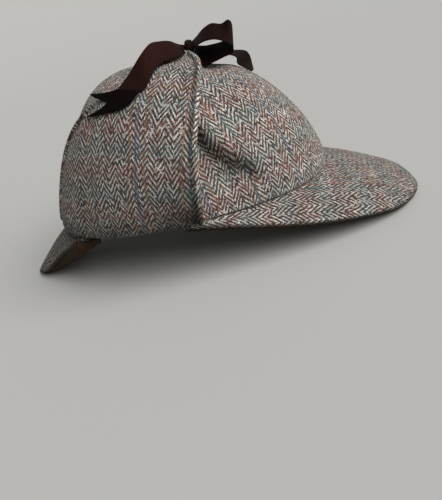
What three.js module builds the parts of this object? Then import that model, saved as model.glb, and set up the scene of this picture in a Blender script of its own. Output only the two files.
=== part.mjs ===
// A deerstalker hat in herringbone tweed, with its ear flaps turned up and tied on top with a ribbon.
// Units are millimetres. Every piece is made in the hat's own frame: +X is the wearer's front,
// +Y the wearer's left, +Z up, and z = 0 lies at the level of the ears. Azimuths are in degrees
// from the front, positive towards the wearer's left. At the end the whole hat is set down on a
// flat floor at z = 0, where it stands on the edges of its two peaks, with its box centred on
// the Z axis.
import * as THREE from "three";
import { mergeVertices } from "three/addons/utils/BufferGeometryUtils.js";

// Driving sizes
const cloth = 2.6; // a crown wall: tweed with its interlining
const seamGap = 0.3; // left between pieces that are sewn to each other

const crown = {
  front: 107, // rim, from the middle forwards, to the outer face
  back: 95.5,
  side: 77.3,
  top: 91.5,
  apex: 8, // how far in front of the middle the four panels meet
  rimMiddle: 1.8,
  rimTilt: 6.4, // the rim rises by this much at the front
  rimDip: 5.5, // and drops by the tilt and this at the back
};

// How the panels swell between rim and apex, along the front, the side and the back seam.
const swell = [
  { seam: "front", reach: 1.02, height: 1.34, hump: 0.0 },
  { seam: "side", reach: 0.78, height: 0.78, hump: 0.0 },
  { seam: "back", reach: 1.16, height: 1.5, hump: 0.215 },
];

// A hollow that the right flap's pull leaves in the front panel beside it, as two ends of its line.
const dent = {
  from: { azimuth: -71, rise: 0.367 },
  to: { azimuth: -56, rise: 0.2 },
  depth: 3.4,
  width: 8,
};

const flap = { thickness: 3.2, standOff: 0.4, belly: 1.6, columns: 18, rows: 18 };

// The right flap's two long edges, from its sewn lower edge up to its rounded tip. Azimuth and
// rise place a point on the crown, and lift is how far the cloth stands off it there.
const flapOutline = [
  { up: 0.0, frontAzimuth: -78.5, frontRise: 0.0, frontLift: 0.0, rearAzimuth: -173, rearRise: 0.0, rearLift: 2.6 },
  { up: 0.2, frontAzimuth: -77.4, frontRise: 0.13, frontLift: 0.1, rearAzimuth: -171, rearRise: 0.1, rearLift: 2.0 },
  { up: 0.4, frontAzimuth: -75.0, frontRise: 0.32, frontLift: 0.2, rearAzimuth: -166, rearRise: 0.24, rearLift: 1.0 },
  { up: 0.6, frontAzimuth: -69.6, frontRise: 0.51, frontLift: 0.2, rearAzimuth: -157, rearRise: 0.4, rearLift: 0.5 },
  { up: 0.75, frontAzimuth: -63.5, frontRise: 0.645, frontLift: 0.4, rearAzimuth: -143, rearRise: 0.51, rearLift: 0.4 },
  { up: 0.87, frontAzimuth: -54.5, frontRise: 0.76, frontLift: 0.7, rearAzimuth: -122, rearRise: 0.64, rearLift: 0.7 },
  { up: 0.95, frontAzimuth: -46.0, frontRise: 0.84, frontLift: 0.9, rearAzimuth: -104, rearRise: 0.8, rearLift: 0.9 },
  { up: 1.0, frontAzimuth: -40.0, frontRise: 0.915, frontLift: 1.2, rearAzimuth: -88, rearRise: 0.93, rearLift: 1.2 },
];

const peak = { seat: 0.5, thickness: 3.2, facing: 0.9, columns: 26, rows: 5, arch: 3 };
const rearPadding = { depth: 8.5, ends: 0.25, rim: 0.3 }; // the rear peak is padded under its facing

// One half of each peak's edge, from the middle to the end: the point it stands over on the rim,
// and where the edge lies.
const frontPeak = [
  { azimuth: 0, x: 172.5, y: 0, z: -13.2 },
  { azimuth: 12, x: 170.4, y: 22, z: -13.4 },
  { azimuth: 27, x: 159.2, y: 44, z: -13.0 },
  { azimuth: 43, x: 136.5, y: 62.5, z: -12.4 },
  { azimuth: 60, x: 86.0, y: 76.5, z: -8.4 },
  { azimuth: 77, x: 18.5, y: 82.5, z: 1.4 },
];
const rearPeak = [
  { azimuth: 180, x: -138.5, y: 0, z: -55.5 },
  { azimuth: 170, x: -134.5, y: 14, z: -53.5 },
  { azimuth: 160, x: -121.5, y: 26, z: -46 },
  { azimuth: 151, x: -107.5, y: 35.5, z: -33 },
  { azimuth: 144, x: -95, y: 43.5, z: -22 },
  { azimuth: 138, x: -79, y: 51, z: -10.5 },
];

// The ribbon: its two edges, row by row, from the knot outwards.
const ribbonSize = { thickness: 0.8, across: 4, along: 2 };
const rearTail = [
  { left: [10.1, 8.2, 99.6], right: [10.5, -10.8, 98.6] },
  { left: [7.8, 2.8, 101.6], right: [8.6, -15.4, 97.8] },
  { left: [3.3, -6.4, 104.5], right: [3.8, -22.0, 95.6] },
  { left: [-2.0, -15.9, 105.5], right: [-1.4, -29.0, 94.4] },
  { left: [-7.6, -19.4, 102.7], right: [-4.0, -34.0, 93.2] },
  { left: [-14.6, -25.7, 96.3], right: [-6.9, -41.0, 90.2] },
  { left: [-20.4, -37.1, 90.6], right: [-8.1, -51.5, 85.6] },
  { left: [-26.4, -46.8, 84.4], right: [-11.5, -54.9, 82.4] },
  { left: [-34.8, -42.6, 83.2], right: [-21.0, -59.2, 75.3] },
  { left: [-41.2, -38.0, 82.6], right: [-33.5, -55.6, 72.9] },
  { left: [-48.2, -31.8, 82.2], right: [-52.7, -44.0, 69.8] },
];
const loop = [
  { left: [21.4, 8.4, 100.6], right: [21.9, -10.6, 98.6] },
  { left: [25.2, 7.4, 104.4], right: [26.4, -11.4, 100.2] },
  { left: [28.9, 6.3, 106.8], right: [30.4, -12.0, 101.2] },
  { left: [34.8, 4.8, 109.4], right: [35.3, -13.0, 101.8] },
  { left: [41.6, 3.2, 108.9], right: [40.9, -14.0, 99.8] },
  { left: [46.5, -0.6, 110.9], right: [45.1, -14.0, 96.8] },
  { left: [48.5, -0.5, 108.1], right: [47.1, -14.0, 94.1] },
  { left: [46.2, 2.0, 103.4], right: [45.2, -14.0, 92.0] },
  { left: [38.1, 3.3, 98.8], right: [40.3, -14.0, 90.6] },
  { left: [31.4, 5.4, 96.8], right: [33.2, -12.0, 90.4] },
  { left: [26.0, 8.6, 96.2], right: [27.0, -9.0, 93.4] },
];
const frontTail = [
  { left: [17.0, 22.6, 97.4], right: [18.6, 9.0, 98.2] },
  { left: [31.0, 24.4, 98.2], right: [33.5, 9.4, 98.4] },
  { left: [40.5, 22.8, 96.4], right: [42.2, 4.8, 95.8] },
  { left: [47.9, 19.8, 92.5], right: [47.9, 0.6, 90.8] },
  { left: [54.4, 20.9, 88.0], right: [49.6, 2.0, 86.4] },
  { left: [59.0, 21.6, 82.2], right: [51.4, 4.0, 82.8] },
  { left: [62.0, 24.5, 77.2], right: [53.6, 7.0, 79.6] },
];
const knot = { x: 16, y: -0.5, z: 99.0, halfX: 5.2, halfY: 9.5, halfZ: 4.6 };

const footFlat = 1.3; // how much of the lowest edges the floor presses flat

// Small tools
const rad = THREE.MathUtils.degToRad;
const lerp = THREE.MathUtils.lerp;
const point = (x, y, z) => new THREE.Vector3(x, y, z);
const steps = (count) => Array.from({ length: count + 1 }, (_, i) => i / count);

// 0 at 0, rising and levelling out at 1 once past the given length.
const ease = (at, length) => 1 - (1 - Math.min(1, at / length)) ** 2;

// A column of a table, read smoothly between its rows.
function smoothTable(rows, key, column) {
  const sorted = [...rows].sort((a, b) => a[key] - b[key]);
  const last = sorted.length - 1;
  return (at) => {
    if (at <= sorted[0][key]) return sorted[0][column];
    if (at >= sorted[last][key]) return sorted[last][column];
    const i = sorted.findIndex((row) => row[key] > at) - 1;
    const [a, b] = [sorted[i], sorted[i + 1]];
    const slope = (p, q) => (q[column] - p[column]) / (q[key] - p[key]);
    const here = slope(a, b);
    const before = i > 0 ? (slope(sorted[i - 1], a) + here) / 2 : here;
    const after = i < last - 1 ? (here + slope(b, sorted[i + 2])) / 2 : here;
    const span = b[key] - a[key];
    const t = (at - a[key]) / span;
    const [t2, t3] = [t * t, t * t * t];
    return (2 * t3 - 3 * t2 + 1) * a[column] + (t3 - 2 * t2 + t) * before * span
      + (3 * t2 - 2 * t3) * b[column] + (t3 - t2) * after * span;
  };
}

// A closed sheet from two faces of points with walls between their edges. Seen from outside,
// the first index runs to the right and the second one up.
function sheetGeometry(outer, inner) {
  const columns = outer.length;
  const rows = outer[0].length;
  const points = [...outer.flat(), ...inner.flat()];
  const at = (i, j, side) => side * columns * rows + i * rows + j;
  const index = [];
  const triangle = (a, b, c) => {
    const same = (p, q) => points[p].distanceTo(points[q]) < 1e-4;
    if (!same(a, b) && !same(b, c) && !same(a, c)) index.push(a, b, c);
  };
  const quad = (a, b, c, d) => {
    triangle(a, b, c);
    triangle(a, c, d);
  };
  for (let i = 0; i < columns - 1; i++) {
    for (let j = 0; j < rows - 1; j++) {
      quad(at(i, j, 0), at(i + 1, j, 0), at(i + 1, j + 1, 0), at(i, j + 1, 0));
      quad(at(i, j, 1), at(i, j + 1, 1), at(i + 1, j + 1, 1), at(i + 1, j, 1));
    }
    quad(at(i, 0, 1), at(i + 1, 0, 1), at(i + 1, 0, 0), at(i, 0, 0));
    quad(at(i, rows - 1, 0), at(i + 1, rows - 1, 0), at(i + 1, rows - 1, 1), at(i, rows - 1, 1));
  }
  for (let j = 0; j < rows - 1; j++) {
    quad(at(0, j, 0), at(0, j + 1, 0), at(0, j + 1, 1), at(0, j, 1));
    quad(at(columns - 1, j, 1), at(columns - 1, j + 1, 1), at(columns - 1, j + 1, 0), at(columns - 1, j, 0));
  }
  const geometry = new THREE.BufferGeometry();
  geometry.setAttribute("position", new THREE.Float32BufferAttribute(points.flatMap((p) => [p.x, p.y, p.z]), 3));
  geometry.setIndex(index);
  return geometry;
}

// One vertex for each place, which closes a lathe's or a sphere's seam.
function weld(geometry) {
  const bare = geometry.clone();
  bare.deleteAttribute("normal");
  bare.deleteAttribute("uv");
  return mergeVertices(bare, 1e-3);
}

// The crown's outer face. rise runs from 0 at the rim to 1 at the apex.
function rimPoint(azimuth) {
  const [c, s] = [Math.cos(rad(azimuth)), Math.sin(rad(azimuth))];
  const length = c > 0 ? crown.front : crown.back;
  const radius = (length * crown.side) / Math.hypot(crown.side * c, length * s);
  const dip = c < 0 ? crown.rimDip * c * c : 0;
  return point(radius * c, radius * s, crown.rimMiddle + crown.rimTilt * c - dip);
}

function crownFace(azimuth, rise) {
  const [c, s] = [Math.cos(rad(azimuth)), Math.sin(rad(azimuth))];
  const [front, side, back] = swell;
  const end = c > 0 ? front : back;
  const mix = (column) => side[column] * s * s + end[column] * c * c;
  const angle = (rise * Math.PI) / 2;
  const reach = Math.pow(Math.max(Math.cos(angle), 0), mix("reach"));
  const height = Math.pow(Math.sin(angle), mix("height")) + mix("hump") * Math.sin(2 * angle) ** 2;
  const rim = rimPoint(azimuth);
  return point(
    crown.apex * (1 - reach) + rim.x * reach,
    rim.y * reach,
    rim.z + (crown.top - rim.z) * height,
  );
}

// The outward normal of a face given by two parameters.
function faceNormal(face, u, v, du, dv, most) {
  const level = Math.min(v, most);
  const [low, high] = [Math.max(0, level - dv), Math.min(most, v + dv)];
  const across = face(u + du, level).sub(face(u - du, level));
  return across.cross(face(u, high).sub(face(u, low))).normalize();
}

function offCrown(azimuth, rise, distance) {
  const normal = faceNormal(crownFace, azimuth, rise, 1, 0.02, 0.97);
  return crownFace(azimuth, rise).addScaledVector(normal, distance);
}

// The same with the dent in it.
const dentLine = new THREE.Line3(
  crownFace(dent.from.azimuth, dent.from.rise),
  crownFace(dent.to.azimuth, dent.to.rise),
);
function dentedCrown(azimuth, rise, distance) {
  const here = crownFace(azimuth > 180 ? azimuth - 360 : azimuth, rise);
  const away = here.distanceTo(dentLine.closestPointToPoint(here, true, new THREE.Vector3()));
  return offCrown(azimuth, rise, distance - dent.depth * Math.exp(-((away / dent.width) ** 2)));
}

const hat = new THREE.Group();

const tweed = new THREE.MeshStandardMaterial({ name: "tweed", color: 0x8a8078, roughness: 0.95 });
const facing = new THREE.MeshStandardMaterial({ name: "facing", color: 0x3c2d1e, roughness: 0.9 });
const ribbon = new THREE.MeshStandardMaterial({ name: "ribbon", color: 0x2e2020, roughness: 0.6 });

function addPiece(name, geometry, material) {
  geometry.computeVertexNormals();
  const mesh = new THREE.Mesh(geometry, material);
  mesh.name = name;
  hat.add(mesh);
  return mesh;
}

// Four crown panels
const crownPanels = [
  { name: "crown_front_right", from: -90, to: 0, shift: [1, -1] },
  { name: "crown_front_left", from: 0, to: 90, shift: [1, 1] },
  { name: "crown_back_left", from: 90, to: 180, shift: [-1, 1] },
  { name: "crown_back_right", from: 180, to: 270, shift: [-1, -1] },
];
for (const { name, from, to, shift } of crownPanels) {
  const face = (distance) =>
    steps(14).map((u) => steps(13).map((v) => dentedCrown(lerp(from, to, u), v, distance)));
  const panel = addPiece(name, sheetGeometry(face(0), face(-cloth)), tweed);
  panel.position.set((shift[0] * seamGap) / 2, (shift[1] * seamGap) / 2, 0);
}

// Two ear flaps, folded up over the crown
function flapGeometry(side) {
  const edges = Object.keys(flapOutline[0]).map((column) => [column, smoothTable(flapOutline, "up", column)]);
  const face = (outwards) =>
    steps(flap.columns).map((u) =>
      steps(flap.rows).map((v) => {
        const at = Object.fromEntries(edges.map(([column, read]) => [column, read(v)]));
        const across = side < 0 ? u : 1 - u; // 0 at the rear edge, 1 at the front edge
        const bow = 4 * across * (1 - across);
        const azimuth = lerp(at.rearAzimuth, at.frontAzimuth, across);
        const rise = Math.min(0.985, lerp(at.rearRise, at.frontRise, across) + 0.04 * v * v * bow);
        const lift = lerp(at.rearLift, at.frontLift, across);
        const off = flap.standOff + lift + flap.belly * bow * 4 * v * (1 - v);
        return offCrown(-side * azimuth, rise, off + outwards * flap.thickness);
      }),
    );
  return sheetGeometry(face(1), face(0));
}
addPiece("ear_flap_right", flapGeometry(-1), tweed);
addPiece("ear_flap_left", flapGeometry(1), tweed);

// Two peaks, each with a facing beneath
function addPeak(name, table, middle, padding) {
  const edge = table.map((row) => ({ ...row, from: Math.abs(row.azimuth - middle) }));
  const [x, y, z] = ["x", "y", "z"].map((column) => smoothTable(edge, "from", column));
  const half = edge.at(-1).from;
  const face = (azimuth, v) => {
    const from = Math.abs(azimuth - middle);
    const t = 1 - v;
    const root = rimPoint(azimuth);
    const inwards = point(root.x, root.y, 0).setLength(cloth);
    root.sub(inwards).add(point(0, 0, -peak.seat));
    const arch = peak.arch * (1 - (from / half) ** 2) * Math.sin(Math.PI * t);
    const side = Math.sin(rad(azimuth)) < 0 ? -1 : 1;
    return root.lerp(point(x(from), side * y(from), z(from)), t).add(point(0, 0, arch));
  };
  const layer = (depth, pad = 0) =>
    steps(peak.columns).map((u) =>
      steps(peak.rows).map((v) => {
        const azimuth = middle + half * (2 * u - 1);
        const full = pad ? pad.depth * Math.sqrt(ease(1 - Math.abs(2 * u - 1), pad.ends) * ease(v, pad.rim)) : 0;
        return face(azimuth, v).addScaledVector(faceNormal(face, azimuth, v, 1, 0.02, 1), -depth - full);
      }),
    );
  addPiece(name, sheetGeometry(layer(0), layer(peak.thickness)), tweed);
  const below = peak.thickness + seamGap;
  addPiece(`${name}_facing`, sheetGeometry(layer(below), layer(below + peak.facing, padding)), facing);
}
addPeak("front_peak", frontPeak, 0);
addPeak("rear_peak", rearPeak, 180, rearPadding);

// The ribbon's strands
function ribbonGeometry(rows, notch = 0) {
  const curve = (edge) => new THREE.CatmullRomCurve3(rows.map((row) => point(...row[edge])), false, "centripetal");
  const [left, right] = [curve("left"), curve("right")];
  const count = (rows.length - 1) * ribbonSize.along;
  const face = (u, v) => {
    const along = Math.max(0, v * (1 - notch * v ** 6 * (1 - Math.abs(2 * u - 1))));
    return left.getPoint(along).lerp(right.getPoint(along), u);
  };
  const layer = (offset) =>
    steps(ribbonSize.across).map((u) =>
      steps(count).map((v) => {
        const across = face(1, v).sub(face(0, v));
        const along = face(u, Math.min(1, v + 0.01)).sub(face(u, Math.max(0, v - 0.01)));
        return face(u, v).addScaledVector(across.cross(along).normalize(), offset);
      }),
    );
  return sheetGeometry(layer(ribbonSize.thickness / 2), layer(-ribbonSize.thickness / 2));
}
addPiece("ribbon_tail_rear", ribbonGeometry(rearTail, 0.13), ribbon);
addPiece("ribbon_tail_front", ribbonGeometry(frontTail), ribbon);
addPiece("bow_loop", ribbonGeometry(loop), ribbon);

const wrap = new THREE.SphereGeometry(1, 20, 12);
wrap.scale(knot.halfX, knot.halfY, knot.halfZ).translate(knot.x, knot.y, knot.z);
addPiece("ribbon_knot", weld(wrap), ribbon);

// Setting the hat down: it is pitched until both peaks' edges are equally low, then lowered
// until the floor has pressed those edges flat.
function lowest(name, pitch) {
  const { position } = hat.getObjectByName(name).geometry.attributes;
  const turn = new THREE.Matrix4().makeRotationY(-rad(pitch));
  return Math.min(...steps(position.count - 1).map((_, i) => point(0, 0, 0).fromBufferAttribute(position, i).applyMatrix4(turn).z));
}
let [low, high] = [-10, 40];
while (high - low > 1e-4) {
  const pitch = (low + high) / 2;
  if (lowest("front_peak_facing", pitch) < lowest("rear_peak_facing", pitch)) low = pitch;
  else high = pitch;
}
const setDown = new THREE.Matrix4().makeRotationY(-rad(low));
setDown.setPosition(0, 0, -lowest("rear_peak_facing", low) - footFlat);

hat.updateMatrixWorld(true);
for (const mesh of hat.children) {
  mesh.geometry.applyMatrix4(new THREE.Matrix4().multiplyMatrices(setDown, mesh.matrix));
  mesh.position.set(0, 0, 0);
  const { position } = mesh.geometry.attributes;
  for (let i = 0; i < position.count; i++) position.setZ(i, Math.max(0, position.getZ(i)));
}
const middle = new THREE.Box3().setFromObject(hat, true).getCenter(point(0, 0, 0));
for (const mesh of hat.children) {
  mesh.geometry.translate(-middle.x, -middle.y, 0);
  mesh.geometry.computeVertexNormals();
}

export default hat;
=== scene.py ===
import math
from functools import partial
import bpy
import numpy as np
from mathutils import Matrix, Vector


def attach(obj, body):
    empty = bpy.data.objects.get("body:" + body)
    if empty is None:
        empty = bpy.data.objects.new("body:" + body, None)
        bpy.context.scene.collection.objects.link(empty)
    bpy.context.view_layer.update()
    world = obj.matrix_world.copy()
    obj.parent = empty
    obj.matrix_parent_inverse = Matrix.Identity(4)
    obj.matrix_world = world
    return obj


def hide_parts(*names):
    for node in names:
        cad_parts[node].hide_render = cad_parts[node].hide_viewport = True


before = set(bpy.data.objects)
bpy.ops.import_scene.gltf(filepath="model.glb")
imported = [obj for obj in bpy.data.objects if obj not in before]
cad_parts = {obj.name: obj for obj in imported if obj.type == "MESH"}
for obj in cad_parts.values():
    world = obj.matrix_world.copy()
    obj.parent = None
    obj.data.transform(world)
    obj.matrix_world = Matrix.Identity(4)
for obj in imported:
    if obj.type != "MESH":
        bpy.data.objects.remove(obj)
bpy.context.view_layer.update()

# Sizes are millimetres in the hat's own frame: x to its front, y to its left, z up.
# An azimuth runs in degrees from the front, positive to the left. A rise runs from 0 at the
# crown's rim to 1 on top.
rest = {
    "pitch": 7.646,  # degrees nose down, when the hat stands on the edges of its two peaks
    "lift": 38.531,
    "shift": -12.28,
}
camera = {
    "place": (26, -340, 130),  # before the hat is tipped to rest
    "hatPitch": 8.0,
    "down": 29.0,
    "focal": 458.0,  # in pixels of the photograph, as the height is
    "pictureHeight": 500.0,
    "sensor": 36,
    "nearest": 0.01,
}


def toFrame(points):  # hat millimetres to scene metres
    tilt = math.radians(rest["pitch"])
    p = np.asarray(points, float)
    x = p[..., 0] * math.cos(tilt) + p[..., 2] * math.sin(tilt) + rest["shift"]
    z = -p[..., 0] * math.sin(tilt) + p[..., 2] * math.cos(tilt) + rest["lift"]
    return np.stack([x, p[..., 1], np.maximum(z, 0)], -1) / 1000  # pressed flat where it stands


def linear(hexColour):  # an sRGB hex colour to Blender's linear one
    parts = [int(hexColour[i:i + 2], 16) / 255 for i in (1, 3, 5)]
    return [c / 12.92 if c <= 0.04045 else ((c + 0.055) / 1.055) ** 2.4 for c in parts] + [1.0]


def addNode(tree, kind, *inputs, out=0, **settings):  # inputs are values, sockets or (name, value) pairs
    kind, _, operation = kind.partition(".")  # such as Math.ADD
    node = tree.nodes.new("ShaderNode" + kind)
    if operation:
        node.operation = operation
    for key, value in settings.items():
        setattr(node, key, value)
    for place, value in enumerate(inputs):
        if isinstance(value, tuple) and isinstance(value[0], str):
            socket, value = node.inputs[value[0]], value[1]
        else:
            socket = node.inputs[place]
        if value is None:
            continue
        if isinstance(value, bpy.types.NodeSocket):
            tree.links.new(value, socket)
        else:
            socket.default_value = value
    return node.outputs[out] if len(node.outputs) else node


def newMaterial(name):  # with the function that adds a node to it
    material = bpy.data.materials.new(name)
    material.use_nodes = True
    material.node_tree.nodes.clear()
    return material, partial(addNode, material.node_tree)


# camera, floor and light

def placeCamera():
    turn = math.radians(camera["hatPitch"] + rest["pitch"])
    down = math.radians(camera["down"])

    def spin(x, y, z):
        return np.array([x * math.cos(turn) + z * math.sin(turn), y,
                         -x * math.sin(turn) + z * math.cos(turn)])

    place = (spin(*camera["place"]) + [rest["shift"], 0, rest["lift"]]) / 1000
    right = spin(1, 0, 0)
    up = spin(0, math.sin(down), math.cos(down))
    back = spin(0, -math.cos(down), math.sin(down))
    data = bpy.data.cameras.new("camera")
    data.sensor_fit = "VERTICAL"
    data.sensor_height = camera["sensor"]
    data.lens = camera["sensor"] * camera["focal"] / camera["pictureHeight"]
    data.clip_start = camera["nearest"]
    item = bpy.data.objects.new("camera", data)
    bpy.context.scene.collection.objects.link(item)
    columns = [right, up, back, place]
    item.matrix_world = Matrix([[column[row] for column in columns] for row in range(3)] + [[0, 0, 0, 1]])
    bpy.context.scene.camera = item


studio = {
    "floorColour": "#c6c4bf",
    "floorShader": {"Roughness": 0.95},
    "skyColour": "#e4e9f0",
    "skyStrength": 0.24,
    "sunFrom": (0.9, -0.5, 1.05),  # high over the front of the hat, as in the photograph
    "sunSpread": 62,  # degrees across: a bright cloudy sky
    "sunStrength": 2.9,
    "half": 9.0,  # metres, as the next three are
    "near": -4.0,
    "flat": 1.4,
    "radius": 7.0,
    "steepest": 58,  # degrees
    "steps": 24,
}


def makeFloor():
    # Matt emulsion rolled on board: an even pale grey with no gloss.
    material, add = newMaterial("matt floor paint")
    colour = linear(studio["floorColour"])
    shader = add("BsdfPrincipled", ("Base Color", colour), *studio["floorShader"].items())
    add("OutputMaterial", shader)
    half, radius, steps = studio["half"], studio["radius"], studio["steps"]
    profile = [(studio["near"], 0.0)]
    for i in range(steps + 1):  # flat floor, then a slow curve up behind
        angle = math.radians(studio["steepest"]) * i / steps
        profile.append((studio["flat"] + radius * math.sin(angle), radius * (1 - math.cos(angle))))
    points = [(x, y, z) for y, z in profile for x in (-half, half)]
    faces = [(2 * i, 2 * i + 1, 2 * i + 3, 2 * i + 2) for i in range(len(profile) - 1)]
    mesh = bpy.data.meshes.new("floor")
    mesh.from_pydata(points, [], faces)
    mesh.materials.append(material)
    mesh.polygons.foreach_set("use_smooth", [True] * len(mesh.polygons))
    floor = bpy.data.objects.new("floor", mesh)
    bpy.context.scene.collection.objects.link(floor)


def makeLight():
    world = bpy.data.worlds.new("cloudy sky light")
    world.use_nodes = True
    background = world.node_tree.nodes["Background"]
    background.inputs["Color"].default_value = linear(studio["skyColour"])
    background.inputs["Strength"].default_value = studio["skyStrength"]
    bpy.context.scene.world = world
    bpy.context.scene.view_settings.view_transform = "Standard"  # plain contrast
    data = bpy.data.lights.new("soft key", "SUN")
    data.energy = studio["sunStrength"]
    data.angle = math.radians(studio["sunSpread"])
    lamp = bpy.data.objects.new("soft key", data)
    bpy.context.scene.collection.objects.link(lamp)
    lamp.rotation_euler = Vector(studio["sunFrom"]).to_track_quat("Z", "Y").to_euler()


placeCamera()
makeFloor()
makeLight()
print("hat: camera and studio placed")


# cloth tools

waves = {"count": 9, "turn": 6.3, "shortest": 0.7, "longest": 1.6}
borderSteps = np.array([0, 0.04, 0.14, 0.3, 0.5, 0.75, 1.0])  # shares of a border's width
borderRows = len(borderSteps) - 1


def noise(a, b, seed):  # smooth waves of cloth, about -1 to 1
    rng = np.random.RandomState(seed)
    total = np.zeros(np.broadcast(a, b).shape)
    for _ in range(waves["count"]):
        angle = rng.rand() * waves["turn"]
        length = rng.uniform(waves["shortest"], waves["longest"])
        phase = rng.rand() * waves["turn"]
        total += np.sin((a * math.cos(angle) + b * math.sin(angle)) / length + phase)
    return total / (waves["count"] / 2)


def bell(distance, width):  # 1 at no distance, about a third at the width
    return np.exp(-(distance / width) ** 2)


def fadeIn(at, rate):  # 0 at an edge, and 1 beyond a share of the way in: 1 / rate
    return np.clip(at * rate, 0, 1)


def smoothStep(at, low, high):
    t = np.clip((at - low) / (high - low), 0, 1)
    return t * t * (3 - 2 * t)


def withColumns(columns, rows):
    return [dict(zip(columns, row)) for row in rows]


def smoothTable(rows, key, column):  # one column of a table, read smoothly
    rows = sorted(rows, key=lambda row: row[key])
    xs = np.array([row[key] for row in rows], float)
    ys = np.array([row[column] for row in rows], float)
    slope = np.diff(ys) / np.diff(xs)
    tangent = np.concatenate([[slope[0]], (slope[1:] + slope[:-1]) / 2, [slope[-1]]])

    def read(at):
        at = np.clip(at, xs[0], xs[-1])
        i = np.clip(np.searchsorted(xs, at, side="right") - 1, 0, len(xs) - 2)
        span = xs[i + 1] - xs[i]
        t = (at - xs[i]) / span
        return ((2 * t ** 3 - 3 * t ** 2 + 1) * ys[i] + (t ** 3 - 2 * t ** 2 + t) * tangent[i] * span
                + (3 * t ** 2 - 2 * t ** 3) * ys[i + 1] + (t ** 3 - t ** 2) * tangent[i + 1] * span)
    return read


def spread(length, pitch, border):  # places from 0 to 1, closer together in the two borders
    near = borderSteps * border
    count = max(2, int(round((length - 2 * border) / pitch)))
    middle = np.linspace(border, length - border, count + 1)[1:-1]
    return np.concatenate([near, middle, length - near[::-1]]) / length


def gridNormals(grid):
    across = np.gradient(grid, axis=0)
    along = np.gradient(grid, axis=1)
    normal = np.cross(across, along)
    size = np.linalg.norm(normal, axis=-1, keepdims=True)
    return normal / np.maximum(size, 1e-9)


def edgeDistances(grid):  # millimetres from the first and last column, first and last row
    def run(points, axis):
        step = np.linalg.norm(np.diff(points, axis=axis), axis=-1)
        total = np.cumsum(step, axis=axis)
        pad = [(0, 0), (0, 0)]
        pad[axis] = (1, 0)
        total = np.pad(total, pad)
        return total, np.take(total, [-1], axis=axis) - total
    return (*run(grid, 0), *run(grid, 1))


def clothCoordinates(grid, centre, grain):  # lays a domed sheet flat, in millimetres
    normals = gridNormals(grid)
    origin, normal = grid[centre], normals[centre]
    grain = np.array(grain, float)
    grain = grain - normal * grain.dot(normal)
    grain /= np.linalg.norm(grain)
    side = np.cross(grain, normal)
    away = grid - origin
    a, b, c = away @ side, away @ grain, -(away @ normal)
    flat = np.hypot(a, b)
    bend = np.arctan2(c, np.maximum(flat, 1e-6))
    curved = np.abs(bend) > 1e-4
    reach = np.hypot(flat, c) * np.where(curved, bend / np.sin(np.where(curved, bend, 1)), 1)
    scale = reach / np.maximum(flat, 1e-6)
    return np.stack([a * scale, b * scale], -1)


def makePiece(node, slot, points, faces, uv, fromEdge, shade):  # stands for one CAD node
    cloth = cloths[slot]
    mesh = bpy.data.meshes.new(node + "_cloth")
    mesh.from_pydata(toFrame(points).tolist(), [], faces)
    corners = np.empty(len(mesh.loops), int)
    mesh.loops.foreach_get("vertex_index", corners)
    layer = mesh.uv_layers.new(name="cloth")
    layer.data.foreach_set("uv", uv[corners].astype(np.float32).ravel())
    for label, values in (("edge", fromEdge), ("shade", shade)):
        attribute = mesh.attributes.new(label, "FLOAT", "POINT")
        attribute.data.foreach_set("value", values.astype(np.float32))
    mesh.polygons.foreach_set("use_smooth", [True] * len(mesh.polygons))
    mesh.materials.append(cloth["material"])
    piece = bpy.data.objects.new(node + "_cloth", mesh)
    bpy.context.scene.collection.objects.link(piece)
    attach(piece, "root")
    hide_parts(node)
    return piece


def makeSheet(node, slot, middle, thickness, uv, normals=None, roll=None, shade=1.0):
    # a closed sheet about a grid of points, with borders rounded over the roll
    roll = thickness / 2 if roll is None else roll
    normals = gridNormals(middle) if normals is None else normals
    fromSides = np.stack(edgeDistances(middle))
    border, nearest = fromSides.min(axis=0), fromSides.argmin(axis=0)
    depth = np.clip(border / roll, 0, 1)
    half = thickness / 2 * np.sqrt(np.clip(1 - (1 - depth) ** 2, 0, 1))
    ends = [
        (uv[0] - uv[borderRows])[None],
        (uv[-1] - uv[-1 - borderRows])[None],
        (uv[:, 0] - uv[:, borderRows])[:, None],
        (uv[:, -1] - uv[:, -1 - borderRows])[:, None],
    ]
    for side, outwards in enumerate(ends):  # the pattern runs on round the border
        outwards = outwards / np.maximum(np.linalg.norm(outwards, axis=-1, keepdims=True), 1e-6)
        uv = uv + outwards * (np.where(nearest == side, thickness / 2 - half, 0))[..., None]
    outer, inner = middle + normals * half[..., None], middle - normals * half[..., None]
    columns, rows = middle.shape[:2]
    inside = np.zeros((columns, rows), bool)
    inside[1:-1, 1:-1] = True
    face = np.arange(columns * rows).reshape(columns, rows)
    back = face.copy()  # the two sides share the points of the border
    back[inside] = columns * rows + np.arange(inside.sum())
    faceQuads = np.stack([face[:-1, :-1], face[1:, :-1], face[1:, 1:], face[:-1, 1:]], -1)
    backQuads = np.stack([back[:-1, :-1], back[:-1, 1:], back[1:, 1:], back[1:, :-1]], -1)
    quads = np.concatenate([faceQuads.reshape(-1, 4), backQuads.reshape(-1, 4)])
    shade = np.broadcast_to(shade, (columns, rows))
    # painted shade on the rounded border and on the wrong side
    outerShade = shade * np.where(inside, 1, cloths[slot]["borderShade"])
    innerShade = shade * cloths[slot]["wrongSideShade"]

    def bothSides(first, second):
        return np.concatenate([first.reshape(-1, *first.shape[2:]), second[inside]])

    return makePiece(node, slot, bothSides(outer, inner), quads.tolist(), bothSides(uv, uv),
                     bothSides(border, border), bothSides(outerShade, innerShade))


# materials

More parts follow.
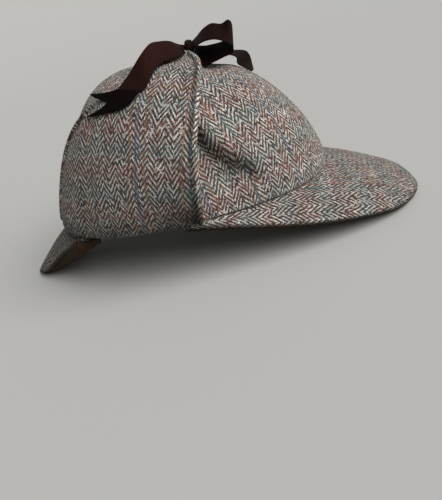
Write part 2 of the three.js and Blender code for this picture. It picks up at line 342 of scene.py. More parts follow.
tweedLook = {
    "warpPitch": 0.64,  # mm between warp yarns
    "pickPitch": 1.0,  # mm between weft yarns
    "repeat": 4,  # picks in the twill's repeat, over two and under two
    "yarnsPerColumn": 8,  # so a herringbone column is 5.1 mm wide
    "wander": [(0.035, 5.0), (0.16, 1.3), (1.1, 1.0)],  # noise waves to a mm, mm that the yarns stray
    "warpLight": "#e9e5dd",
    "warpGrey": "#6b6661",
    "weftDark": "#28221f",
    "weftBrown": "#5a4a41",
    "rust": "#8d5633",
    "wine": "#6d3f38",
    "teal": "#3f5c5a",
    "blue": "#525f78",
    "sheen": "#cfc4b4",
    "fleck": 0.05,  # share of the floats hidden by fibres of the other yarn
    "strayYarn": 0.16,  # share of the floats that are a coloured fibre
    "strays": [(1.0, "rust"), (0.72, "wine"), (0.5, "teal"), (0.25, "blue")],  # share of those, colour
    "strayStrength": 0.38,
    "checkWidth": 66.0,  # mm from one pair of rust lines to the next
    "checkLines": [  # start and width in mm, colour
        (8, 1.3, "rust"), (18, 1.3, "rust"), (12, 1.9, "blue"), (41, 1.3, "rust"), (45, 1.9, "teal"),
    ],
    "lineStrength": {"broken": 0.6, "least": 0.3, "warp": 0.75},
    "bandHeight": 27.0,  # mm for one teal and one wine band
    "bands": [(2, 8, "teal"), (15.5, 8, "wine")],
    "bandStrength": {"broken": 0.6, "least": 0.18, "weft": 0.85, "warp": 0.2},
    "mottle": (0.86, 1.12),  # the darkest and the lightest that the dye came out
    # painted highlight along the edges
    "edgeHighlight": (0.6, 4.4, 1.2, 1.0),  # two distances from an edge in mm, and the light at each
    "fuzz": (0.32, 0.68, 0.5, 1.46),  # two strengths of the noise, and the light at each
    "tone": {"own": 0.75, "slub": 0.25},  # how much of a float's shade is its own
    # painted highlight on the tops of the warp floats, with painted shade to their sides and ends
    "crest": {"yarn": 1.3, "float": 1.4, "round": 0.95, "own": 0.75, "base": -0.3},
    "heights": {"weft": 0.45, "warp": 0.6, "warpLow": 0.4, "dive": 0.6, "slub": 0.7},
    "seeds": {"warp": 7.0, "fleck": 37.0},
    "noiseRange": (0.3, 0.7),  # where most of a noise lies
    "slubNoise": {"Scale": 0.5, "Detail": 4.0, "Roughness": 0.65},
    "mottleNoise": {"Scale": 0.06, "Detail": 3.0},
    "fuzzNoise": {"Scale": 1.25, "Detail": 3.0, "Roughness": 0.75},
    "relief": {"Strength": 0.45, "Distance": 0.0004},  # the distance is in metres
    "shader": {
        "Roughness": 0.95, "IOR": 1.5, "Specular IOR Level": 0.2,
        "Sheen Weight": 0.08, "Sheen Roughness": 0.6,
    },
}


def makeTweed():
    # Carded wool woven in a two-and-two herringbone twill: matt and hairy, pale warp ribs over
    # dark weft, every float its own shade, and a faint overcheck of rust, blue, teal and wine.
    look = tweedLook
    material, add = newMaterial("woven herringbone wool tweed")
    cloth = add("UVMap", uv_map="cloth")
    u = add("SeparateXYZ", cloth)
    v = add("SeparateXYZ", cloth, out=1)
    for scale, reach in look["wander"]:  # worn cloth is never dead straight
        drift = add("TexNoise", ("Vector", cloth), ("Scale", scale), ("Detail", 1.0), out=1)
        driftU = add("Math.SUBTRACT", add("SeparateXYZ", drift), 0.5)
        driftV = add("Math.SUBTRACT", add("SeparateXYZ", drift, out=1), 0.5)
        u = add("Math.ADD", u, add("Math.MULTIPLY", driftU, reach))
        v = add("Math.ADD", v, add("Math.MULTIPLY", driftV, reach))

    yarnAt = add("Math.DIVIDE", u, look["warpPitch"])
    yarn = add("Math.FLOOR", yarnAt)
    column = add("Math.FLOOR", add("Math.DIVIDE", yarn, look["yarnsPerColumn"]))
    inColumn = add("Math.MULTIPLY_ADD", column, -look["yarnsPerColumn"], yarn)
    oddColumn = add("Math.FLOORED_MODULO", column, 2.0)
    lean = add("Math.MULTIPLY_ADD", oddColumn, -2.0, 1.0)  # 1 in one column, -1 in the next
    pickAt = add("Math.DIVIDE", v, look["pickPitch"])
    pick = add("Math.FLOOR", pickAt)
    step = add("Math.MULTIPLY_ADD", lean, inColumn, pick)
    inRepeat = add("Math.FLOORED_MODULO", step, look["repeat"])
    warpUp = add("Math.LESS_THAN", inRepeat, look["repeat"] / 2 - 0.5)
    rib = add("Math.FLOOR", add("Math.DIVIDE", step, look["repeat"]))
    topYarn = add("Math.MULTIPLY_ADD", warpUp, add("Math.SUBTRACT", yarn, pick), pick)  # the one that shows

    # every float has its own shade, and some are a stray colour
    place = add("CombineXYZ", topYarn, rib, add("Math.MULTIPLY_ADD", warpUp, look["seeds"]["warp"], column))
    chance = add("TexWhiteNoise", place, out=1)
    tone, hue, stray = (add("SeparateXYZ", chance, out=i) for i in range(3))
    slub = add("TexNoise", ("Vector", cloth), *look["slubNoise"].items())
    slub = add("MapRange", slub, *look["noiseRange"], 0.0, 1.0)
    fromSlub = add("Math.MULTIPLY", slub, look["tone"]["slub"])
    tone = add("Math.MULTIPLY_ADD", tone, look["tone"]["own"], fromSlub)
    roundWarp = add("Math.SINE", add("Math.MULTIPLY", add("Math.FRACT", yarnAt), math.pi))
    roundWeft = add("Math.SINE", add("Math.MULTIPLY", add("Math.FRACT", pickAt), math.pi))
    inFloat = add("Math.ADD", add("Math.FRACT", pickAt), inRepeat)
    inFloat = add("Math.MULTIPLY", inFloat, 2 / look["repeat"])  # 0 and 1 at the ends, where the yarn dives
    arch = add("Math.ABSOLUTE", add("Math.SINE", add("Math.MULTIPLY", inFloat, math.pi)))
    # painted highlight on the top of each warp float, fading to painted shade at its sides and where it
    # dives
    crest = look["crest"]
    crestHighlight = add("Math.MULTIPLY", add("Math.POWER", roundWarp, crest["yarn"]),
                  add("Math.POWER", arch, crest["float"]))
    ownLight = add("Math.MULTIPLY_ADD", tone, crest["own"], crest["base"])
    warpLight = add("Math.MULTIPLY_ADD", crestHighlight, crest["round"], ownLight)
    warpColour = add("MixRGB", warpLight, linear(look["warpGrey"]), linear(look["warpLight"]))
    weftColour = add("MixRGB", tone, linear(look["weftDark"]), linear(look["weftBrown"]))

    # the overcheck: coloured warp lines and weft bands, broken by the floats
    def inStripe(at, start, width, strength):
        inside = add("Math.COMPARE", at, start + width / 2, width / 2)
        broken = add("Math.MULTIPLY_ADD", hue, strength["broken"], strength["least"])
        return add("Math.MULTIPLY", inside, broken)

    checkAt = add("Math.FLOORED_MODULO", u, look["checkWidth"])
    for start, width, name in look["checkLines"]:
        inside = inStripe(checkAt, start, width, look["lineStrength"])
        inWarp = add("Math.MULTIPLY", inside, look["lineStrength"]["warp"])
        warpColour = add("MixRGB", inWarp, warpColour, linear(look[name]))
        weftColour = add("MixRGB", inside, weftColour, linear(look[name]))
    bandAt = add("Math.FLOORED_MODULO", v, look["bandHeight"])
    for start, width, name in look["bands"]:
        inside = inStripe(bandAt, start, width, look["bandStrength"])
        inWeft = add("Math.MULTIPLY", inside, look["bandStrength"]["weft"])
        inWarp = add("Math.MULTIPLY", inside, look["bandStrength"]["warp"])
        weftColour = add("MixRGB", inWeft, weftColour, linear(look[name]))
        warpColour = add("MixRGB", inWarp, warpColour, linear(look[name]))
    fleck = add("Math.FRACT", add("Math.MULTIPLY", stray, look["seeds"]["fleck"]))
    fleck = add("Math.LESS_THAN", fleck, look["fleck"])
    showsWarp = add("Math.ABSOLUTE", add("Math.SUBTRACT", warpUp, fleck))
    colour = add("MixRGB", showsWarp, weftColour, warpColour)
    for share, name in look["strays"]:
        inside = add("Math.LESS_THAN", stray, look["strayYarn"] * share)
        inside = add("Math.MULTIPLY", inside, look["strayStrength"])
        colour = add("MixRGB", inside, colour, linear(look[name]))

    # a slow unevenness of the dye, painted edge highlight, painted light and shade, and a haze of loose
    # fibre
    mottle = add("TexNoise", ("Vector", cloth), *look["mottleNoise"].items())
    mottle = add("MapRange", mottle, *look["noiseRange"], *look["mottle"])
    # painted highlight along the edges
    edgeHighlight = add("MapRange", add("Attribute", attribute_name="edge", out=2), *look["edgeHighlight"])
    fuzz = add("TexNoise", ("Vector", cloth), *look["fuzzNoise"].items())
    fuzz = add("MapRange", fuzz, *look["fuzz"])
    shade = add("Math.MULTIPLY", mottle, edgeHighlight)
    # painted light and shade from each piece's shade attribute
    shade = add("Math.MULTIPLY", shade, add("Attribute", attribute_name="shade", out=2))
    shade = add("Math.MULTIPLY", shade, fuzz)
    colour = add("VectorMath.MULTIPLY", colour, add("CombineXYZ", shade, shade, shade))

    # relief: round yarns, warp ribs standing over the weft, and loose fibre
    heights = look["heights"]
    weftHeight = add("Math.MULTIPLY", roundWeft, heights["weft"])
    warpHeight = add("Math.MULTIPLY_ADD", roundWarp, heights["warp"], heights["warpLow"])
    warpHeight = add("Math.MULTIPLY", warpHeight, add("Math.POWER", arch, heights["dive"]))
    height = add("Mix", warpUp, None, weftHeight, warpHeight)
    height = add("Math.MULTIPLY_ADD", slub, heights["slub"], height)
    bump = add("Bump", ("Height", height), *look["relief"].items())
    shader = add("BsdfPrincipled", ("Base Color", colour), ("Normal", bump),
                 ("Sheen Tint", linear(look["sheen"])), *look["shader"].items())
    add("OutputMaterial", shader)
    return material


facingLook = {
    "colour": "#291d10",
    "light": "#3b2c1c",
    "threadPitch": 0.6,  # mm
    "lean": 0.6,
    "thread": 0.12,  # how much of the light and dark is the weave's
    "slubNoise": {"Scale": 0.35, "Detail": 4.0},
    "relief": {"Strength": 0.35, "Distance": 0.0002},
    "shader": {"Roughness": 0.85, "IOR": 1.5, "Specular IOR Level": 0.15},
}


def makeFacing():
    # Close cotton drill, piece-dyed brown: smooth and matt, with a fine even weave.
    look = facingLook
    material, add = newMaterial("brown cotton drill facing")
    cloth = add("UVMap", uv_map="cloth")
    u = add("SeparateXYZ", cloth)
    v = add("SeparateXYZ", cloth, out=1)
    diagonal = add("Math.MULTIPLY_ADD", u, look["lean"], v)
    wave = add("Math.SINE", add("Math.MULTIPLY", diagonal, 2 * math.pi / look["threadPitch"]))
    slub = add("TexNoise", ("Vector", cloth), *look["slubNoise"].items())
    tone = add("Math.MULTIPLY_ADD", wave, look["thread"], slub)
    colour = add("MixRGB", tone, linear(look["colour"]), linear(look["light"]))
    bump = add("Bump", ("Height", wave), *look["relief"].items())
    shader = add("BsdfPrincipled", ("Base Color", colour), ("Normal", bump), *look["shader"].items())
    add("OutputMaterial", shader)
    return material


ribbonLook = {
    "colour": "#170906",
    "rib": "#331b16",
    "ribPitch": 1.0,  # mm
    "selvedge": (0.7, 1.0),  # mm from the edge, where the ribs begin and where they are full
    "slub": 0.9,
    "slubNoise": {"Scale": 0.2, "Detail": 3.0},
    "relief": {"Strength": 0.6, "Distance": 0.00025},
    "shader": {"Roughness": 0.62, "IOR": 1.5, "Specular IOR Level": 0.06},
}


def makeRibbon():
    # Grosgrain: a fine silky warp over thick weft cords, so it is ribbed straight across,
    # with hardly any shine and a smooth selvedge.
    look = ribbonLook
    material, add = newMaterial("chocolate grosgrain ribbon")
    cloth = add("UVMap", uv_map="cloth")
    v = add("SeparateXYZ", cloth, out=1)
    wave = add("Math.SINE", add("Math.MULTIPLY", v, 2 * math.pi / look["ribPitch"]))
    edge = add("Attribute", attribute_name="edge", out=2)
    inside = add("MapRange", edge, *look["selvedge"], 0.0, 1.0)
    rib = add("Math.MULTIPLY", add("Math.MULTIPLY_ADD", wave, 0.5, 0.5), inside)
    slub = add("TexNoise", ("Vector", cloth), *look["slubNoise"].items())
    tone = add("Math.MULTIPLY", rib, add("Math.MULTIPLY", slub, look["slub"]))
    colour = add("MixRGB", tone, linear(look["colour"]), linear(look["rib"]))
    # painted light and shade along each strand and on the knot
    shade = add("Attribute", attribute_name="shade", out=2)
    colour = add("VectorMath.MULTIPLY", colour, add("CombineXYZ", shade, shade, shade))
    bump = add("Bump", ("Height", rib), *look["relief"].items())
    shader = add("BsdfPrincipled", ("Base Color", colour), ("Normal", bump), *look["shader"].items())
    add("OutputMaterial", shader)
    return material


cloths = {  # each with its painted shade at its border and on its wrong side
    "tweed": {"material": makeTweed(), "borderShade": 0.6, "wrongSideShade": 0.35},
    "facing": {"material": makeFacing(), "borderShade": 0.6, "wrongSideShade": 0.35},
    "ribbon": {"material": makeRibbon(), "borderShade": 1, "wrongSideShade": 1},
}
print("hat: materials made")


# crown

crown = {
    "front": 107, "back": 95.5, "side": 77.3, "top": 91.5, "apex": 8,
    "rimMiddle": 1.8, "rimTilt": 6.4, "rimDip": 5.5, "cloth": 2.6, "roll": 1.3,
    "gap": 0.15,  # from a seam to the panel's edge
    "swell": {  # how full it is in the side and on top, and how far its shoulder stands out
        "front": (1.02, 1.34, 0),
        "side": (0.78, 0.78, 0),
        "back": (1.16, 1.5, 0.215),
    },
    "ripple": {
        "depth": 0.55, "length": 11, "leanX": 23, "leanY": 17, "rimFade": 6, "apexFade": 5, "seed": 3,
    },
    "dent": {  # beside the right flap, from its upper end to its lower one
        "from": (-74, 0.36), "to": (-54.5, 0.189), "sag": 3.0, "near": 75, "full": 0.8, "gone": 1.5,
        "depth": 9.0, "drop": 6.0, "foot": 2, "reach": 17, "bulge": 2.4, "bulgeAt": -7,
        "bulgeWidth": 6, "shadow": 0.4, "shadowAt": 1, "shadowWidth": 4,
    },
    "hollow": {  # before the tips of the flaps
        "x": 29, "y": 0, "halfX": 13, "halfY": 30, "above": 40, "depth": 5,
    },
    "paintedLightness": 1.13,  # painted light: its cloth is painted a little paler than the flaps'
    "panelWidth": 125, "panelHeight": 118, "pitch": 1.6, "border": 1.4, "highest": 0.99,
    "patternMiddle": 0.42,  # how far up the panel the cloth is laid flat from
    "columns": ("name", "start", "end", "grain", "shift"),
    "panels": [  # the grain runs up to the apex at that azimuth, and the pattern is shifted by so many mm
        ("crown_front_right", -90, 0, -40, (-3.6, 0)),
        ("crown_front_left", 0, 90, 40, (7, 31)),
        ("crown_back_left", 90, 180, 150, (14, 62)),
        ("crown_back_right", 180, 270, 210, (21, 93)),
    ],
}


def rimPoint(azimuth):
    c, s = np.cos(np.radians(azimuth)), np.sin(np.radians(azimuth))
    length = np.where(c > 0, crown["front"], crown["back"])
    radius = length * crown["side"] / np.hypot(crown["side"] * c, length * s)
    dip = np.where(c < 0, crown["rimDip"] * c * c, 0)
    height = crown["rimMiddle"] + crown["rimTilt"] * c - dip
    return np.stack(np.broadcast_arrays(radius * c, radius * s, height), -1)


def crownFace(azimuth, rise):
    azimuth, rise = np.broadcast_arrays(np.asarray(azimuth, float), np.asarray(rise, float))
    c, s = np.cos(np.radians(azimuth)), np.sin(np.radians(azimuth))
    swell = crown["swell"]
    ends = [np.where(c > 0, front, back) for front, back in zip(swell["front"], swell["back"])]
    side, top, shoulder = (beside * s * s + end * c * c for beside, end in zip(swell["side"], ends))
    angle = rise * math.pi / 2
    reach = np.maximum(np.cos(angle), 0) ** side
    height = np.sin(angle) ** top + shoulder * np.sin(2 * angle) ** 2
    rim = rimPoint(azimuth)
    return np.stack([crown["apex"] * (1 - reach) + rim[..., 0] * reach, rim[..., 1] * reach,
                     rim[..., 2] + (crown["top"] - rim[..., 2]) * height], -1)


def crownNormal(azimuth, rise, highest=0.97, step=0.02):
    level = np.minimum(rise, highest)
    low, high = np.maximum(0, level - step), np.minimum(highest, rise + step)
    normal = np.cross(crownFace(azimuth + 1, level) - crownFace(azimuth - 1, level),
                      crownFace(azimuth, high) - crownFace(azimuth, low))
    return normal / np.linalg.norm(normal, axis=-1, keepdims=True)


def dentFold(points, normals):  # how deep the fold is, and its shade: it bulges, drops and runs out below
    dent = crown["dent"]
    a, b = crownFace(*dent["from"]), crownFace(*dent["to"])
    length = np.linalg.norm(b - a)
    line = (b - a) / length
    along = (points - a) @ line / length
    below = np.cross(normals, line)
    below *= np.where(below[..., 2:] > 0, -1, 1)
    across = np.sum((points - a) * below, axis=-1) - dent["sag"] * np.sin(math.pi * np.clip(along, 0, 1))
    near = (np.linalg.norm(points - (a + b) / 2, axis=-1) < dent["near"]) & (points[..., 1] < 0)
    strength = (1 - smoothStep(along, dent["full"], dent["gone"])) * near
    drop = smoothStep(across, -dent["drop"] / 2, dent["drop"] / 2)
    fade = bell(np.maximum(across - dent["foot"], 0), dent["reach"])
    bulge = dent["bulge"] * bell(across - dent["bulgeAt"], dent["bulgeWidth"])
    shadow = dent["shadow"] * bell(across - dent["shadowAt"], dent["shadowWidth"])
    return strength * (dent["depth"] * drop * fade - bulge), 1 - strength * shadow


def makePanel(name, start, end, grain, shift):
    ripple, hollow = crown["ripple"], crown["hollow"]
    u = spread(crown["panelWidth"], crown["pitch"], crown["border"])[:, None]
    v = spread(crown["panelHeight"], crown["pitch"], crown["border"])[None, :] * crown["highest"]
    azimuth, rise = np.broadcast_arrays(start + (end - start) * u, v)
    face, normal = crownFace(azimuth, rise), crownNormal(azimuth, rise)
    x, y, z = face[..., 0], face[..., 1], face[..., 2]
    wave = noise(x / ripple["length"] + z / ripple["leanX"], y / ripple["length"] + z / ripple["leanY"],
                 ripple["seed"]) * ripple["depth"]
    wave *= np.sqrt(np.sin(math.pi * u)) * fadeIn(v, ripple["rimFade"]) * fadeIn(1 - v, ripple["apexFade"])
    depth, shade = dentFold(face, normal)
    inHollow = ((x - hollow["x"]) / hollow["halfX"]) ** 2 + ((y - hollow["y"]) / hollow["halfY"]) ** 2
    depth = depth + hollow["depth"] * np.exp(-inHollow) * (z > hollow["above"])
    middle = face - normal * (crown["cloth"] / 2 - wave + depth)[..., None]
    towards = math.radians((start + end) / 2)
    middle[..., 0] += math.copysign(crown["gap"], math.cos(towards))
    middle[..., 1] += math.copysign(crown["gap"], math.sin(towards))
    centre = (len(u) // 2, int(v.shape[1] * crown["patternMiddle"]))
    apex = crownFace(grain, 0.9) - crownFace(grain, 0.1)
    uv = clothCoordinates(middle, centre, apex) + np.array(shift)
    # painted shadow in the dent, and the crown's painted lightness
    makeSheet(name, "tweed", middle, crown["cloth"], uv, normal, crown["roll"], shade * crown["paintedLightness"])


for panel in withColumns(crown["columns"], crown["panels"]):
    makePanel(**panel)
print("hat: crown made")


# ear flaps

flap = {
    "thickness": 3.2, "standOff": 0.4, "belly": 1.6, "tipBow": 0.04, "highest": 0.985,
    "ripple": {
        "depth": 0.45, "length": 13, "lean": 31, "sideFade": 3, "rimFade": 6, "tipFade": 6, "seed": 5,
    },
    "stitchIn": 4.8, "stitchDepth": 1.5, "stitchWidth": 0.8, "roll": 1.8, "rollWidth": 4.4,
    "easeFrom": 25, "ease": 0.3,  # the cloth is eased in towards the back
    "width": 150, "height": 135, "pitch": 1.5, "border": 1.7,
    "grain": (0.03, 0, 1),
    "patternMiddle": (0.55, 0.42),  # how far across and up the cloth is laid flat from
    # painted shade in the stitch groove, low front, bottom and tucked corner; painted front-edge highlight
    "shade": {
        "stitch": 0.38, "stitchWidth": 0.9, "frontHighlight": 0.5, "frontWidth": 2.8,
        "bottom": 0.6, "bottomWidth": 10, "corner": 0.75, "cornerWidth": 23,
        "lowFrontShade": 0.2, "lowTo": 0.6, "frontFrom": 0.2, "frontFull": 0.9,
    },
    "columns": ("up", "frontAzimuth", "frontRise", "frontLift", "rearAzimuth", "rearRise", "rearLift"),
    "outline": [  # from the rim to the tip
        (0.0, -78.5, 0.0, 0.0, -173, 0.0, 2.6),
        (0.2, -77.4, 0.13, 0.1, -171, 0.1, 2.0),
        (0.4, -75.0, 0.32, 0.2, -166, 0.24, 1.0),
        (0.6, -69.6, 0.51, 0.2, -157, 0.4, 0.5),
        (0.75, -63.5, 0.645, 0.4, -143, 0.51, 0.4),
        (0.87, -54.5, 0.76, 0.7, -122, 0.64, 0.7),
        (0.95, -46.0, 0.84, 0.9, -104, 0.8, 0.9),
        (1.0, -40.0, 0.915, 1.2, -88, 0.93, 1.2),
    ],
}


# painted shade and painted highlight on a flap's cloth
def paintedFlapShade(across, v, front, bottom, stitched):
    shades = flap["shade"]
    shade = 1 - shades["stitch"] * bell(stitched - flap["stitchIn"], shades["stitchWidth"])
    low = 1 - smoothStep(v, 0, shades["lowTo"])
    forward = smoothStep(across, shades["frontFrom"], shades["frontFull"])
    shade = shade * (1 - shades["lowFrontShade"] * low * forward)
    frontHighlight = shades["frontHighlight"] * np.exp(-(front / shades["frontWidth"]) ** 4)
    shade = shade * (1 + frontHighlight) * (1 - shades["bottom"] * bell(bottom, shades["bottomWidth"]))
    corner = np.hypot(front, bottom)  # painted shadow in the corner tucked in behind the front peak
    return shade * (1 - shades["corner"] * bell(corner, shades["cornerWidth"]))


def makeFlap(name, side):
    ripple = flap["ripple"]
    u = spread(flap["width"], flap["pitch"], flap["border"])[:, None]
    v = spread(flap["height"], flap["pitch"], flap["border"])[None, :]
    rows = withColumns(flap["columns"], flap["outline"])
    at = {key: smoothTable(rows, "up", key)(v) for key in flap["columns"][1:]}
    across = u if side < 0 else 1 - u  # 0 at the rear edge, 1 at the front one
    middleBow = 4 * across * (1 - across)
    mix = lambda rear, front: at[rear] + (at[front] - at[rear]) * across
    azimuth = -side * mix("rearAzimuth", "frontAzimuth")
    rise = np.minimum(flap["highest"], mix("rearRise", "frontRise") + flap["tipBow"] * v * v * middleBow)
    off = flap["standOff"] + mix("rearLift", "frontLift") + flap["belly"] * middleBow * 4 * v * (1 - v)
    face, normal = crownFace(azimuth, rise), crownNormal(azimuth, rise)
    x, y, z = face[..., 0], face[..., 1], face[..., 2]
    wave = noise(x / ripple["length"], z / ripple["length"] + y / ripple["lean"], ripple["seed"] + side)
    wave = wave * ripple["depth"]
    wave = wave * fadeIn(middleBow, ripple["sideFade"]) * fadeIn(v, ripple["rimFade"])
    wave = wave * fadeIn(1 - v, ripple["tipFade"])
    middle = face + normal * (off + flap["thickness"] / 2 + wave)[..., None]
    first, last, bottom, tip = edgeDistances(middle)
    stitched = np.minimum.reduce([first, last, tip])
    groove = flap["stitchDepth"] * bell(stitched - flap["stitchIn"], flap["stitchWidth"])
    swollen = flap["roll"] * np.sin(math.pi * np.clip(stitched / flap["rollWidth"], 0, 1))
    middle = middle + normal * (swollen - groove)[..., None]
    shade = paintedFlapShade(across, v, last if side < 0 else first, bottom, stitched)
    alongU, alongV = flap["patternMiddle"]
    centre = (int(len(u) * (alongU if side < 0 else 1 - alongU)), int(v.shape[1] * alongV))
    uv = clothCoordinates(middle, centre, flap["grain"])
    backwards = np.maximum(uv[..., 0] * side - flap["easeFrom"], 0)
    uv[..., 0] -= side * backwards * flap["ease"]
    makeSheet(name, "tweed", middle, flap["thickness"], uv, normal, shade=shade)


makeFlap("ear_flap_right", -1)
makeFlap("ear_flap_left", 1)
print("hat: ear flaps made")


# peaks

peak = {
    "seat": 0.5, "thickness": 3.2, "facing": 0.9, "facingGap": 0.3, "arch": 3, "roll": 1.0,
    "welt": {"height": 0.7, "from": 4.6, "width": 1.3},  # the turned seam beside the crown
    "ripple": {"depth": 0.25, "length": 12, "rootFade": 3, "seed": 8},
    "rimShade": 0.72, "rimWidth": 2.4,  # its rim turns under, away from the light
    "width": 235, "depth": 66, "widthPitch": 1.8, "depthPitch": 1.4, "border": 1.8,
    "columns": ("azimuth", "x", "y", "z"),
    "front": {
        "middle": 0, "grain": (1, 0.12, 0), "paintedLightness": 1, "padding": None,
        "outline": [
            (0, 172.5, 0, -13.2),
            (12, 170.4, 22, -13.4),
            (27, 159.2, 44, -13.0),
            (43, 136.5, 62.5, -12.4),
            (60, 86.0, 76.5, -8.4),
            (77, 18.5, 81.8, 1.2),
            (86, 2.0, 78.2, 0.6),  # the end is tucked in under the flap
        ],
    },
    "rear": {
        "middle": 180, "grain": (0.35, 1, 0),
        "paintedLightness": 0.55,  # it hangs in the crown's shade in the photograph
        "padding": {"depth": 8.5, "ends": 0.25, "rim": 0.3},  # under its facing
        "outline": [
            (180, -138.5, 0, -55.5),
            (170, -134.5, 14, -53.5),
            (160, -121.5, 26, -46.0),
            (151, -107.5, 35.5, -33.0),
            (144, -95.0, 43.5, -22.0),
            (138, -79.0, 51.0, -10.5),
        ],
    },
}


def easeIn(at, length):
    return 1 - (1 - np.clip(at / length, 0, 1)) ** 2


def makePeak(name, shape):
    welt, ripple, padding = peak["welt"], peak["ripple"], shape["padding"]
    rows = [dict(row, away=abs(row["azimuth"] - shape["middle"]))
            for row in withColumns(peak["columns"], shape["outline"])]
    half = rows[-1]["away"]
    readX, readY, readZ = (smoothTable(rows, "away", key) for key in ("x", "y", "z"))
    u = spread(peak["width"], peak["widthPitch"], peak["border"])[:, None]
    t = 1 - spread(peak["depth"], peak["depthPitch"], peak["border"])[None, :]  # 1 at the rim, 0 at the root
    azimuth = shape["middle"] + half * (2 * u - 1)
    away = np.abs(azimuth - shape["middle"])
    root = rimPoint(azimuth)
    outwards = root * [1, 1, 0]
    outwards = outwards / np.linalg.norm(outwards, axis=-1, keepdims=True)
    root = root - outwards * crown["cloth"] - [0, 0, peak["seat"]]
    side = np.where(np.sin(np.radians(azimuth)) < 0, -1, 1)
    edge = np.stack([readX(away), side * readY(away), readZ(away)], -1)
    face = root + (edge - root) * t[..., None]
    face[..., 2] += peak["arch"] * (1 - (away / half) ** 2) * np.sin(math.pi * t)
    normal = gridNormals(face)
    span = np.linalg.norm(edge - root, axis=-1) * t
    lip = welt["height"] * bell(span - welt["from"], welt["width"])
    x, y = face[..., 0], face[..., 1]
    wave = ripple["depth"] * noise(x / ripple["length"], y / ripple["length"], ripple["seed"])
    face = face + normal * (lip + wave * fadeIn(t, ripple["rootFade"]))[..., None]
    middle = face - normal * (peak["thickness"] / 2)
    fromRim = edgeDistances(face)[2]
    # painted lightness of the piece, with painted shade where its rim turns under
    paintedLightness = shape["paintedLightness"]
    shade = paintedLightness - peak["rimShade"] * paintedLightness * bell(fromRim, peak["rimWidth"])
    uv = clothCoordinates(middle, (len(u) // 2, t.shape[1] // 2), shape["grain"])
    makeSheet(name, "tweed", middle, peak["thickness"], uv, normal, peak["roll"], shade)
    under = face - normal * (peak["thickness"] + peak["facingGap"])
    thick = np.full((len(u), t.shape[1]), peak["facing"])
    if padding:
        fromEnds, fromRoot = easeIn(1 - np.abs(2 * u - 1), padding["ends"]), easeIn(1 - t, padding["rim"])
        thick = thick + padding["depth"] * np.sqrt(fromEnds * fromRoot)
    makeSheet(name + "_facing", "facing", under - normal * thick[..., None] / 2, thick, uv, normal)


makePeak("front_peak", peak["front"])
makePeak("rear_peak", peak["rear"])
print("hat: peaks made")


# ribbon

bow = {
    "width": 19.5, "thickness": 0.7, "roll": 0.35, "pitch": 1.2, "border": 0.6, "stepsPerRow": 14,
    "notchCurve": 6,
    "knot": {
        "x": 17.9, "y": -0.5, "z": 98.2, "halfX": 3.0, "halfY": 8.6, "halfZ": 4.6, "fullness": 3.2,
        "turns": 56, "rings": 28, "inside": 5.0, "paintedLightness": 0.8, "ribTurn": 7, "skew": 0.06,
        "pleat": {"depth": 0.05, "turns": 9, "twist": 1.2},
        "crease": {"depth": 0.03, "turns": 3, "twist": 4},
    },
}
# A row is one place along a strand, from the knot on: the x, y and z of its left and right edge.
# A strand's shades are its painted light and shade, from the knot to its end.
strands = {
    "ribbon_tail_rear": {
        "restsOn": ["ear_flap_right_cloth", "ribbon_knot_cloth"],
        "notch": 0.13,  # how deep its swallow tail is cut, as a share of its length
        "shades": [0.9, 1.5, 1.8, 1.8, 1.5, 1.3, 0.4, 0.25, 0.2],
        "rows": [
            ((15.5, 6, 99), (16, -8.5, 96)),
            ((11.5, -8, 101.5), (14, -26.5, 96)),
            ((7, -15, 104.5), (8, -32, 95)),
            ((1, -18.5, 105.5), (1.5, -34, 94)),
            ((-4, -26.5, 105.5), (-2, -40, 91.5)),
            ((-9.5, -33, 101), (-5, -46.5, 87.5)),
            ((-17.5, -37, 92.5), (-8, -51.5, 83.5)),
            ((-24.5, -43.5, 85.5), (-10.5, -53.5, 82.5)),
            ((-26.5, -47, 84.5), (-11.5, -55, 82.5)),
            ((-35, -42.5, 83), (-21, -59, 75.5)),
            ((-41, -38, 82.5), (-33.5, -55.5, 73)),
            ((-48, -32, 82), (-52.5, -44, 70)),
        ],
    },
    "bow_loop": {
        "restsOn": ["ribbon_knot_cloth"],
        "notch": 0,
        "shades": [0.8, 0.8, 1.0, 0.6, 0.4],
        "rows": [
            ((19, 9, 100), (19.5, -9, 96)),
            ((23.5, 8, 103), (24, -11, 99)),
            ((29, 6.5, 107.5), (29, -12, 101)),
            ((35, 5, 110), (35.5, -13, 101.5)),
            ((41.5, 3.5, 109), (41, -14, 100)),
            ((46.5, -0.5, 111), (46, -14, 97)),
            ((48.5, -0.5, 108), (47.5, -14, 94)),
            ((47.5, 3.5, 101.5), (46.5, -13.5, 91.5)),
            ((41, 5.5, 98), (41, -12.5, 90)),
            ((32, 6, 97), (33.5, -11, 87.5)),
            ((28, 6.5, 97), (27, -10, 86)),
            ((22.5, 10.5, 97.5), (23, -8, 92)),
            ((18.5, 14.5, 98.5), (19.5, -5, 96)),
        ],
    },
    "ribbon_tail_front": {
        "restsOn": ["crown_front_left_cloth", "ribbon_knot_cloth"],
        "notch": 0,
        "shades": [0.5, 0.7, 0.6],
        "rows": [
            ((17.5, 14, 95), (18.5, -4.5, 94.5)),
            ((29, 18, 91.5), (30.5, -0.5, 91)),
            ((41.5, 20, 90.5), (42, 1.5, 90)),
            ((55, 19, 89), (49, 0, 87.5)),
            ((59, 19.5, 85.5), (49.5, 2, 83)),
            ((60.5, 23.5, 78.5), (53.5, 5, 79.5)),
            ((61.5, 32, 73), (59.5, 14.5, 74.5)),
        ],
    },
}


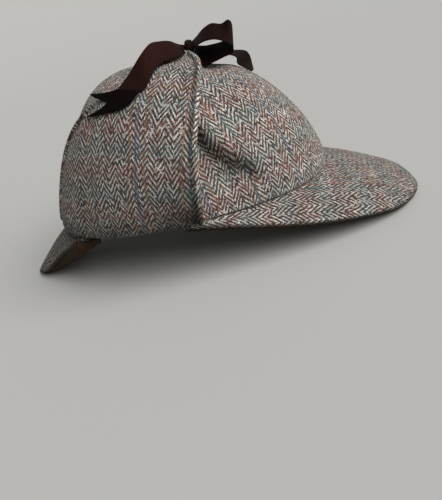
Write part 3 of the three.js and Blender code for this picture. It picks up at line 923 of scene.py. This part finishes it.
def smoothPath(points, at):  # a curve through the points, at from 0 to 1
    points = np.asarray(points, float)
    full = np.concatenate([[2 * points[0] - points[1]], points, [2 * points[-1] - points[-2]]])
    x = np.clip(at, 0, 1) * (len(points) - 1)
    i = np.clip(np.floor(x).astype(int), 0, len(points) - 2)
    t = (x - i)[..., None]
    a, b, c, d = full[i], full[i + 1], full[i + 2], full[i + 3]
    square, cube = 2 * a - 5 * b + 4 * c - d, 3 * b - a - 3 * c + d
    return 0.5 * (2 * b + (c - a) * t + square * t ** 2 + cube * t ** 3)


def makeStrand(name, strand):
    rows, shades = strand["rows"], strand["shades"]
    left, right = [row[0] for row in rows], [row[1] for row in rows]
    u = spread(bow["width"], bow["pitch"], bow["border"])[:, None]
    v = np.linspace(0, 1, bow["stepsPerRow"] * (len(rows) - 1) + 1)[None, :]
    at = np.clip(v * (1 - strand["notch"] * v ** bow["notchCurve"] * (1 - np.abs(2 * u - 1))), 0, 1)
    middle = smoothPath(left, at) * (1 - u[..., None]) + smoothPath(right, at) * u[..., None]
    spine = np.linalg.norm(np.diff(middle[len(u) // 2], axis=0), axis=-1)
    along = np.concatenate([[0], np.cumsum(spine)])
    uv = np.stack(np.broadcast_arrays((u - 0.5) * bow["width"], along[None, :]), -1)
    # painted light and shade along the strand
    shade = np.interp(v, np.linspace(0, 1, len(shades)), shades)
    piece = makeSheet(name, "ribbon", middle, bow["thickness"], uv, roll=bow["roll"], shade=shade)


def makeKnot():  # the ribbon wound round itself, with a few pleats
    knot = bow["knot"]
    pleat, crease = knot["pleat"], knot["crease"]
    turns, rings = knot["turns"], knot["rings"]
    angle = np.linspace(0, 2 * math.pi, turns, endpoint=False)[None, :]
    s = np.linspace(-1, 1, rings)[:, None]
    folds = (1 + pleat["depth"] * np.cos(s * pleat["turns"] + pleat["twist"] * np.sin(angle))
             + crease["depth"] * np.sin(crease["turns"] * angle + s * crease["twist"]))
    swell = np.sqrt(np.clip(1 - np.abs(s) ** knot["fullness"], 0, 1)) * folds
    x = knot["x"] + knot["halfX"] * s * (1 + knot["skew"] * np.sin(2 * angle))
    y = knot["y"] + knot["halfY"] * swell * np.cos(angle)
    z = knot["z"] + knot["halfZ"] * swell * np.sin(angle)
    grid = np.stack(np.broadcast_arrays(x, y, z), -1)
    points = np.concatenate([grid[1:-1].reshape(-1, 3), [grid[0].mean(axis=0), grid[-1].mean(axis=0)]])
    firstEnd, lastEnd = len(points) - 2, len(points) - 1
    lastRing = firstEnd - turns
    faces = []
    for ring in range(0, lastRing, turns):
        for j in range(turns):
            k = (j + 1) % turns
            faces.append((ring + j, ring + k, ring + turns + k, ring + turns + j))
    for j in range(turns):
        k = (j + 1) % turns
        faces.append((firstEnd, k, j))
        faces.append((lastEnd, lastRing + j, lastRing + k))
    around = np.arctan2(points[:, 2] - knot["z"], points[:, 1] - knot["y"]) * knot["ribTurn"]
    same = np.ones(len(points))
    # painted shade, the same all over the knot
    makePiece("ribbon_knot", "ribbon", points, faces, np.stack([points[:, 0], around], -1),
              same * knot["inside"], same * knot["paintedLightness"])


makeKnot()
for name, strand in strands.items():
    makeStrand(name, strand)
print("hat: ribbon tied")
